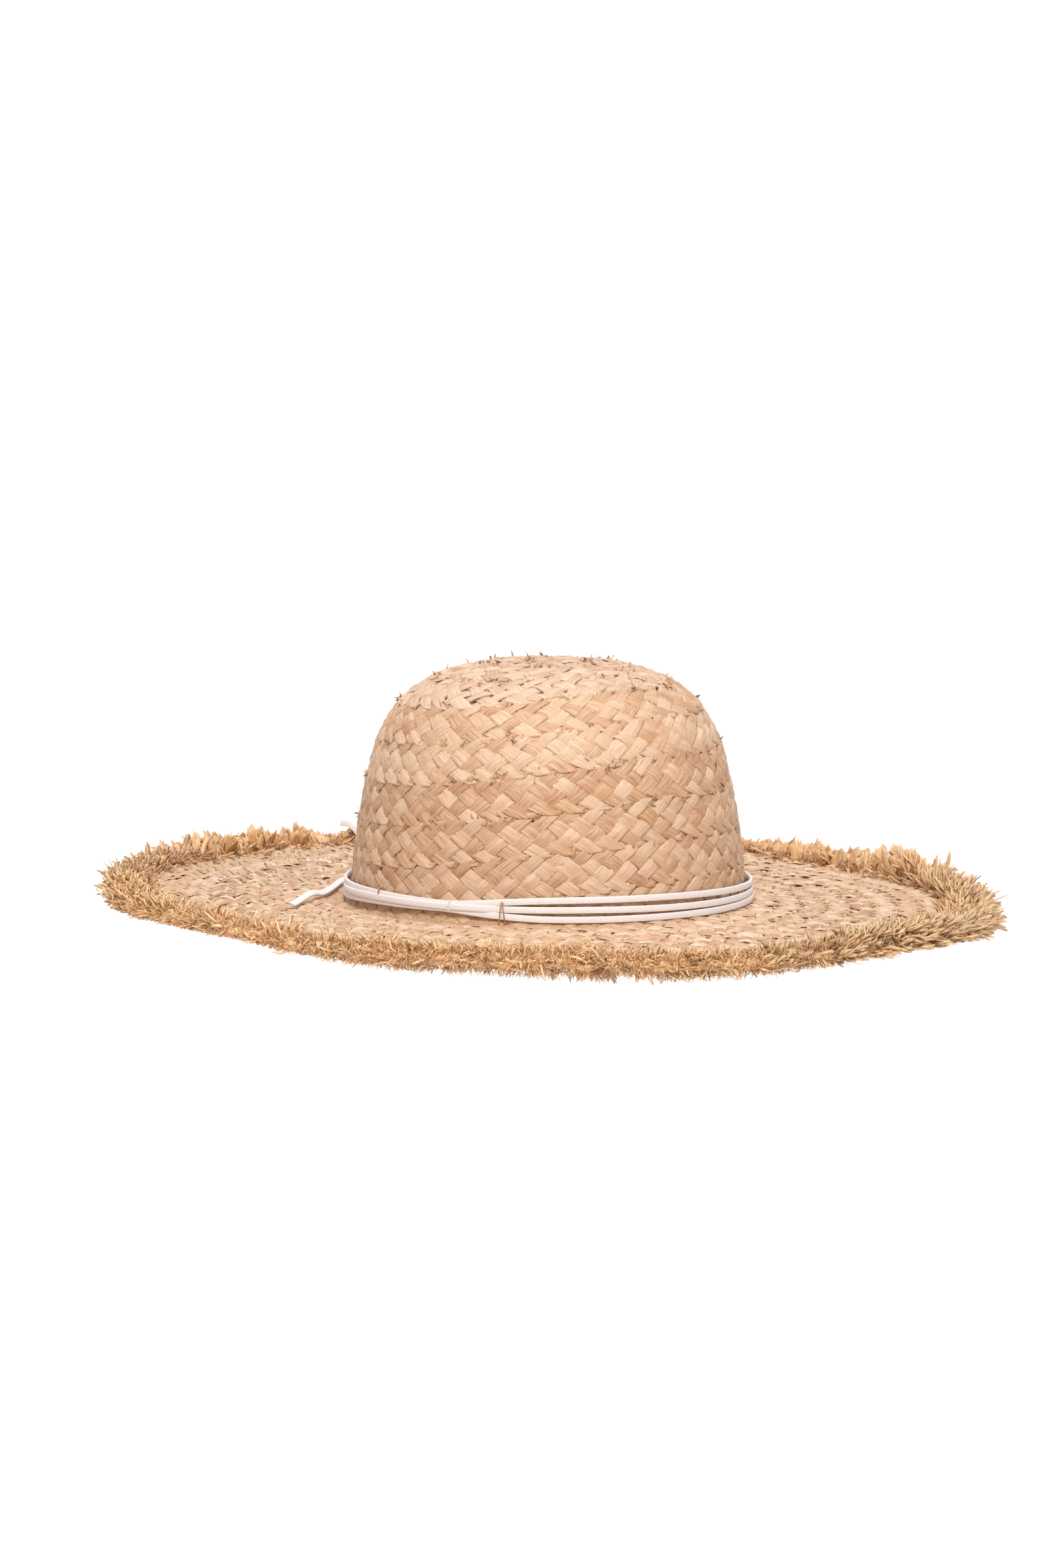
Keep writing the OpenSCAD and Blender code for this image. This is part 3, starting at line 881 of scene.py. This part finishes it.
def add_brush(shape, start, end, section_range, amount):
    """The long bristles at one side, combed outwards."""
    a = pick(start, end, BRUSH_COUNT * amount, lambda x: share_between(x, *BRUSH_ARC))
    section = rng.uniform(*section_range, len(a))
    pull = 0.6 * outward(a) + 0.4 * onward(a) + np.array([0, 0, 0.15])
    blades_on_roll(shape, a, section, rng.uniform(5, 12, len(a)), rng.uniform(0.9, 2.6, len(a)),
                   0.28, pull, tuft_a=3.4, tuft_section=45)


def add_petals(shape, start, end):
    """The broad petals behind. Those of one bunch share a size and a lean."""
    a = pick(start, end, PETAL_COUNT, lambda x: share_between(x, *PETAL_ARC))
    bunch = np.round(a / 3.3).astype(int) * 37 % TUFT_COUNT
    lengths = rise_height(a) * TUFT_SIZES[bunch] ** 1.3 * rng.uniform(0.85, 1.2, len(a))
    petals(shape, a, rng.uniform(25, 160, len(a)), lengths, rng.uniform(2.8, 6.4, len(a)),
           15 + 38 * TUFT_WAYS[bunch, 0] + rng.normal(0, 12, len(a)),
           22 * TUFT_WAYS[bunch, 1] + rng.normal(0, 12, len(a)))


def make_fringe():
    """The frayed edge in stretches, first those over the brim and then those under it."""
    wide = 360 / UPPER_PARTS
    for k in range(UPPER_PARTS):
        shape = Shape()
        add_frayed_stretch(shape, wide * k, wide * (k + 1), UPPER_SECTION, 1.0)
        add_petals(shape, wide * k, wide * (k + 1))
        # Painted shade: the upper parts away from the camera get the darker copy of the frayed colour.
        material = FRAYED_RAFFIA if k in FRONT_PARTS else FRAYED_RAFFIA_PAINTED_SHADE
        shape.make(f"frayed_upper_{k + 1}", material, ["fringe_upper"])
    wide = 360 / LOWER_PARTS
    for k in range(LOWER_PARTS):
        shape = Shape()
        add_frayed_stretch(shape, wide * k, wide * (k + 1), LOWER_SECTION, LOWER_AMOUNT)
        shape.make(f"frayed_lower_{k + 1}", FRAYED_RAFFIA, ["fringe_lower"])


def add_frayed_stretch(shape, start, end, section_range, amount):
    fringe_core(shape, start, end, section_range)
    add_fluff(shape, start, end, section_range, amount)
    add_broad_blades(shape, start, end, section_range, amount)
    add_brush(shape, start, end, section_range, amount)


# ---- Stitches ----
def add_stitch(shape, g, reach, lean, rise, width, number):
    """A flat strand over the seam at g, from one side of it to the other."""
    rows, cols, half_t = 7, 3, 0.12
    t = np.linspace(-1, 1, rows)[:, None]
    w = np.linspace(-1, 1, cols)[None, :]
    q = seam(g)
    radius = np.interp(q, LINE_Q, LINE_R)
    a = angle_at(g) + np.degrees((lean * t + w * width / 2) / radius)
    h = rise * (1 - t ** 4) - 0.6 * t ** 4 + 0.12 * (1 - w ** 2)
    place = q - reach * t + 0 * w
    strand = joined(5 * t, width / 2 * w, number)
    shape.add_strip(on_hat(place, a, h + half_t), on_hat(place, a, h - half_t), strand)


def make_stitches(name, node, first, last, spacing, reach, rise):
    """Stitches along the seams from turn first to turn last."""
    shape = Shape()
    g = first
    while g < last:
        radius = max(6.0, float(np.interp(seam(g), LINE_Q, LINE_R)))
        add_stitch(shape, g, reach * rng.uniform(0.8, 1.25), rng.normal(1.0, 0.5), rise,
                   rng.uniform(0.8, 1.5), rng.uniform(0, STRAND_NUMBERS))
        g += spacing * rng.uniform(0.75, 1.3) / (2 * math.pi * radius)
    shape.make(name, STITCH_RAFFIA, [node])


# ---- Loose fibres of the plait ----
FRAY_GROUPS = 190


def make_frays():
    """Frayed ends that stand out of the seams, in small groups."""
    shape = Shape()
    for g in rng.uniform(0.6, CROWN_TURNS - 0.3, FRAY_GROUPS) ** 0.9:
        count = rng.integers(2, 8)
        here = g + rng.normal(0, 0.004, count)
        q = seam(here) + rng.normal(0, 1.2, count)
        a = angle_at(here)
        roots = on_hat(q, a, 0.2)
        out = on_hat(q, a, 1.2) - roots
        sideways = onward(a) * rng.normal(0, 1, (count, 1))
        first = unit(unit(out) * 0.3 + sideways + rng.normal(0, 0.35, (count, 3)))
        last = unit(first + rng.normal(0, 0.6, (count, 3)) - 0.35 * unit(out))
        add_blades(shape, roots, first, last, unit(out), rng.uniform(2.0, 5.0, count),
                   rng.uniform(0.4, 1.2, count))
    shape.make("crown_frays", STITCH_RAFFIA)


# ---- Lace ----
LACE_W = 3.1
LACE_T = 1.3
TAIL_T = 1.2
LACE_GAP = 0.2
SIDE_SLACK = 1.4
LACE_OVER = 0.6
# Where the binding thread pulls the wraps together: its angle, middle and half height.
PINCH_A = 241
PINCH_MID, PINCH_HALF = 7.3, 2.65
# The middle wrap's height over the brim, and the steps from it up to the top one and down to
# the bottom one, by angle.
WRAP_ANGLES = [0, 90, 150, 180, 212, 229, PINCH_A, 251, 266, 282, 305, 327, 345, 360]
WRAP_MID = [5.1, 5.6, 6.2, 6.5, 7.7, 7.5, 7.3, 7.1, 7.0, 6.9, 6.0, 5.3, 5.0, 5.1]
STEP_UP = [3.4, 3.3, 3.3, 3.1, 1.9, 1.4, 0.9, 2.6, 4.3, 4.6, 5.1, 4.7, 4.1, 3.4]
STEP_DOWN = [3.4, 3.3, 3.3, 3.1, 1.9, 1.4, 0.9, 2.6, 4.3, 4.6, 4.0, 3.6, 3.3, 3.4]


def rounded(angles, values):
    """The values at every degree, with the corners between them rounded off."""
    every = np.arange(-30, 391)
    plain = np.interp(np.mod(every, 360), angles, values)
    return blurred(plain, 12, 4.0)[30:390]


MID_BY_DEGREE = rounded(WRAP_ANGLES, WRAP_MID)
UP_BY_DEGREE = rounded(WRAP_ANGLES, STEP_UP)
DOWN_BY_DEGREE = rounded(WRAP_ANGLES, STEP_DOWN)


def flat_section(width, thick, sides=12):
    """Outline of a flat lace with soft edges, as (across, up) points."""
    turn = np.linspace(0, 2 * math.pi, sides, endpoint=False)
    soft = 0.3
    across = np.sign(np.cos(turn)) * np.abs(np.cos(turn)) ** soft * width / 2
    up = np.sign(np.sin(turn)) * np.abs(np.sin(turn)) ** soft * thick / 2
    return across, up


def make_wrap(name, k):
    """One pass of the lace: k is -1 for the bottom one, 0 for the middle and 1 for the top."""
    angles = np.arange(360.0)
    turn = np.radians(angles)
    step = UP_BY_DEGREE if k > 0 else DOWN_BY_DEGREE
    height = MID_BY_DEGREE + k * step
    r = crown_radius(height - LACE_W / 2) + LACE_GAP + LACE_T / 2 + SIDE_SLACK * np.cos(turn) ** 4
    if k == 0:
        # where the wraps are pulled together, the middle one lies over the other two
        r = r + smoothstep((LACE_W - step) / LACE_OVER) * LACE_OVER
    up = np.tile([0, 0, 1.0], (len(angles), 1))
    shape = Shape()
    shape.add_tube(at_angle(r, angles, BRIM_Z + height), up, outward(angles), flat_section(LACE_W, LACE_T),
                   turn * CROWN_R, 3.0 * k + 5, closed=True)
    shape.make(name, WHITE_LACE, [name.replace("white_lace", "lace_wrap")])


def smooth_route(route, cuts):
    """A smooth curve through the route's points."""
    route = np.asarray(route, float)
    n = len(route) - 1
    out = []
    for i in range(n):
        p0, p1, p2, p3 = route[max(0, i - 1)], route[i], route[i + 1], route[min(n, i + 2)]
        for c in range(cuts):
            u = c / cuts
            out.append(0.5 * (2 * p1 + (p2 - p0) * u + (2 * p0 - 5 * p1 + 4 * p2 - p3) * u * u
                              + (3 * p1 - p0 - 3 * p2 + p3) * u ** 3))
    out.append(route[-1])
    return np.array(out)


# The routes of the two tails, as part.scad has them.
FRONT_ROUTE = [[-80.6, 58.6, 20.4], [-85, 57, 19.1], [-90, 54, 18.6], [-95, 48.5, 18.5],
               [-98.5, 41, 18.5], [-100.5, 31, 18.5], [-102, 20, 18.5], [-104, 9, 18.5],
               [-106, 0, 18.5], [-108.3, -8, 18.9], [-110.5, -15, 20.1], [-112.5, -21, 20.4],
               [-114.7, -28, 20], [-117.5, -38, 19.3], [-120, -50, 19.3]]
REAR_ROUTE = [[-71.8, 68.8, 20.4], [-71.2, 74, 19.2], [-72.5, 81, 18.8], [-75.5, 90, 19],
              [-79, 100, 19.5], [-83, 112, 20.1], [-86.5, 126, 20.8], [-89, 140, 21.5],
              [-90.5, 152, 22.4], [-92, 161, 24.4], [-94, 167, 26.6], [-96.5, 172, 28.2],
              [-99, 176.5, 28.8], [-101.5, 181, 28.5]]


def make_tail(name, node, route, rolls):
    """A flat lace along the route, rolled about it by the given degrees along its length."""
    path = smooth_route(route, 6)
    ways = unit(np.gradient(path, axis=0))
    run = running_sum(np.linalg.norm(np.diff(path, axis=0), axis=1))
    roll = np.radians(np.interp(run / run[-1], np.linspace(0, 1, len(rolls)), rolls))[:, None]
    side = unit(np.cross(ways, np.array([0, 0, 1.0])))
    over = unit(np.cross(side, ways))
    shape = Shape()
    flat, lift = side * np.cos(roll) + over * np.sin(roll), over * np.cos(roll) - side * np.sin(roll)
    shape.add_tube(path, flat, lift, flat_section(LACE_W, TAIL_T), run, 1.0, closed=False)
    tail = shape.make(name, WHITE_LACE, [node])


make_tail("white_lace_tail_front", "lace_tail_front", FRONT_ROUTE, [70, 30, 10, 20, 50, 30, 25])
make_tail("white_lace_tail_rear", "lace_tail_rear", REAR_ROUTE, [60, 20, 5, 0, 10, 60, 80])


KNOT_ANGLE = 140
KNOT_WIDE, KNOT_TALL, KNOT_DEEP = 1.05, 0.72, 1.0


def make_knot():
    """An overhand knot drawn up round the wraps' ends."""
    middle = (low_corner("lace_knot") + high_corner("lace_knot")) / 2
    out, along = outward(KNOT_ANGLE), onward(KNOT_ANGLE)
    t = np.linspace(0, 2 * math.pi, 97)[:-1]
    x = (np.sin(t) + 2 * np.sin(2 * t)) * KNOT_WIDE
    y = (np.cos(t) - 2 * np.cos(2 * t)) * KNOT_TALL
    z = -np.sin(3 * t) * KNOT_DEEP
    centre = middle + x[:, None] * along + y[:, None] * np.array([0, 0, 1.0]) + z[:, None] * out
    ways = unit(np.roll(centre, -1, 0) - np.roll(centre, 1, 0))
    side = unit(np.cross(ways, out))
    shape = Shape()
    shape.add_tube(centre, side, unit(np.cross(side, ways)), flat_section(2.1, 1.5), t * 6, 0.0, closed=True)
    shape.make("white_lace_knot", WHITE_LACE, ["lace_knot"])


def loop_round_wraps(shape, a, low, high, radius, lean, number):
    """A closed thread loop round the wraps at the angle a, from the height low to high."""
    inner = crown_radius(low)
    outer = inner + LACE_GAP + LACE_T + LACE_OVER + 0.3
    count, sides, soft = 40, 8, 0.5
    t = np.linspace(0, 2 * math.pi, count + 1)[:-1]
    c, s = np.cos(t), np.sin(t)
    r = (inner + outer) / 2 + np.sign(c) * np.abs(c) ** soft * (outer - inner) / 2
    z = BRIM_Z + (low + high) / 2 + np.sign(s) * np.abs(s) ** soft * (high - low) / 2
    angle = np.radians(a) + lean * (z - z.mean()) / crown_radius(low)
    path = joined(r * np.cos(angle), r * np.sin(angle), z)
    ways = unit(np.roll(path, -1, 0) - np.roll(path, 1, 0))
    sideways = onward(a)
    over = unit(np.cross(ways, sideways))
    turn = np.linspace(0, 2 * math.pi, sides, endpoint=False)
    ring = (path[:, None] + radius * np.cos(turn)[None, :, None] * sideways
            + radius * np.sin(turn)[None, :, None] * over[:, None])
    quads, _ = tube_quads(count, sides, closed=True)
    shape.add(ring, joined((t * 4)[:, None], turn * radius, number), quads)


def make_lace_trim():
    shape = Shape()
    for offset, lean in ((-0.35, 0.05), (0.0, -0.06), (0.3, 0.08)):
        loop_round_wraps(shape, PINCH_A + offset, PINCH_MID - PINCH_HALF, PINCH_MID + PINCH_HALF,
                         0.2, lean, 3.0)
    shape.make("white_binding_thread", SEWING_THREAD, ["binding_thread"])
    shape = Shape()
    loop_round_wraps(shape, 256.4, 0.3, 10.4, 0.3, 0.12, 40.0)
    loop_round_wraps(shape, 257.5, 0.5, 10.2, 0.28, -0.12, 41.0)
    loop_round_wraps(shape, 214, 7.0, 12.2, 0.4, 0.3, 42.0)
    shape.make("raffia_tack_strands", STITCH_RAFFIA, ["raffia_tacks"])


# ---- Sweatband ----
TAPE_T = 0.9
RIB_DEPTH = 0.14
SEAM_STITCHES = 150
SEAM_R = 90.6


def make_sweatband():
    """A ribbed cotton tape, turned out at its lower hem, and the thread that holds it."""
    columns = 720
    in_r, back_r = HEAD_R, HEAD_R + TAPE_T
    profile = np.array([
        (in_r, BAND_TOP), (in_r, BAND_TOP - 6), (in_r, BAND_TOP - 12), (in_r, BAND_FOOT + 5),
        (in_r, BAND_FOOT + 1.2), (in_r + 0.4, BAND_FOOT + 0.2), (BAND_OUT_R - 0.3, BAND_FOOT),
        (BAND_OUT_R, BAND_FOOT + 0.6), (BAND_OUT_R - 0.6, BAND_FOOT + 1.1), (back_r + 0.4, BAND_FOOT + 1.6),
        (back_r + 0.05, BAND_FOOT + 3), (back_r, BAND_TOP - 10), (back_r, BAND_TOP - 0.3),
        (in_r + 0.45, BAND_TOP + 0.05)])
    a = np.arange(columns) * 360 / columns
    ribs = RIB_DEPTH * (np.arange(columns) % 2)
    r = profile[None, :, 0] + ribs[:, None] * (profile[None, :, 0] < HEAD_R + 0.1)
    z = profile[None, :, 1]
    points = at_angle(r, a[:, None], z)
    strand = joined(np.radians(a)[:, None] * HEAD_R, z, 7.0)
    quads, _ = tube_quads(columns, len(profile), closed=True)
    shape = Shape()
    shape.add(points, strand, quads)
    band = shape.make("sweatband_tape", COTTON_TAPE, ["sweatband"])
    count = SEAM_STITCHES
    a = np.arange(count) * 360 / count + rng.normal(0, 0.15, count)
    ahead = onward(a)
    down = np.tile([0, 0, -1.0], (count, 1))
    shape = Shape()
    roots = at_angle(SEAM_R, a, BAND_FOOT - 0.18)
    add_blades(shape, roots, unit(ahead + 0.15 * down), unit(ahead - 0.15 * down), down,
               np.full(count, 2.9), np.full(count, 0.55), "stitch", fold=0.5)
    shape.make("sweatband_seam", SEWING_THREAD, ["sweatband_stitching"])


# ---- Floor and light ----
FLOOR_HALF = 40.0
FLOOR_GREY = 0.25
FLOOR_GLOW = 0.97


def make_stage():
    """A pale floor that reaches past the view and shows hardly any shadow."""
    mesh = bpy.data.meshes.new("floor")
    corners = [(x * FLOOR_HALF, y * FLOOR_HALF, 0) for x, y in ((-1, -1), (1, -1), (1, 1), (-1, 1))]
    mesh.from_pydata(corners, [], [(0, 1, 2, 3)])
    material = bpy.data.materials.new("pale_floor")
    material.use_nodes = True
    shader = material.node_tree.nodes["Principled BSDF"]
    shader.inputs["Base Color"].default_value = (FLOOR_GREY, FLOOR_GREY, FLOOR_GREY, 1)
    shader.inputs["Roughness"].default_value = 1.0
    shader.inputs["Specular IOR Level"].default_value = 0.0
    shader.inputs["Emission Color"].default_value = (1, 1, 1, 1)
    shader.inputs["Emission Strength"].default_value = FLOOR_GLOW
    mesh.materials.append(material)
    new_object("floor", mesh)


LIGHTS_AIM = np.array([0, 0, 0.05])


def area_light(name, place, size, energy):
    data = bpy.data.lights.new(name, "AREA")
    data.shape = "DISK"
    data.size = size
    data.energy = energy
    light = new_object(name, data)
    light.location = place
    x, y, z = LIGHTS_AIM - np.array(place)
    light.rotation_euler = (math.atan2(math.hypot(x, y), -z), 0, math.atan2(y, x) - math.pi / 2)


SKY_LIGHT = 0.55


def make_light():
    """A white horizon under a dimmer sky, a broad key light in front and a soft one above."""
    world = bpy.data.worlds.new("studio")
    world.use_nodes = True
    tree = world.node_tree
    background = tree.nodes["Background"]
    place = tree.nodes.new("ShaderNodeTexCoord")
    parts = tree.nodes.new("ShaderNodeSeparateXYZ")
    height = tree.nodes.new("ShaderNodeMapRange")
    height.interpolation_type = "SMOOTHSTEP"
    for key, value in (("From Min", 0.08), ("From Max", 0.5), ("To Min", 1.0), ("To Max", SKY_LIGHT)):
        height.inputs[key].default_value = value
    tree.links.new(place.outputs["Generated"], parts.inputs[0])
    tree.links.new(parts.outputs["Z"], height.inputs["Value"])
    tree.links.new(height.outputs["Result"], background.inputs["Strength"])
    background.inputs["Color"].default_value = (1, 1, 1, 1)
    bpy.context.scene.world = world
    area_light("key", (0.05, -1.55, 1.8), 0.7, 51.5)
    area_light("top", (0.0, 0.5, 1.9), 0.9, 14)
    bpy.context.scene.view_settings.view_transform = "Standard"


make_crown_plait()
make_brim_plait()
make_tip()
make_fringe()
make_stitches("crown_stitches", "crown_thread", 1.0, CROWN_TURNS + 0.4, 12.0, 2.6, 0.62)
make_stitches("brim_stitches", "brim_thread", CROWN_TURNS + 0.5, CROWN_TURNS + BRIM_TURNS, 14.0, 2.0, 0.5)
make_frays()
make_wrap("white_lace_bottom", -1)
make_wrap("white_lace_middle", 0)
make_wrap("white_lace_top", 1)
make_knot()
make_lace_trim()
make_sweatband()
make_stage()
make_light()
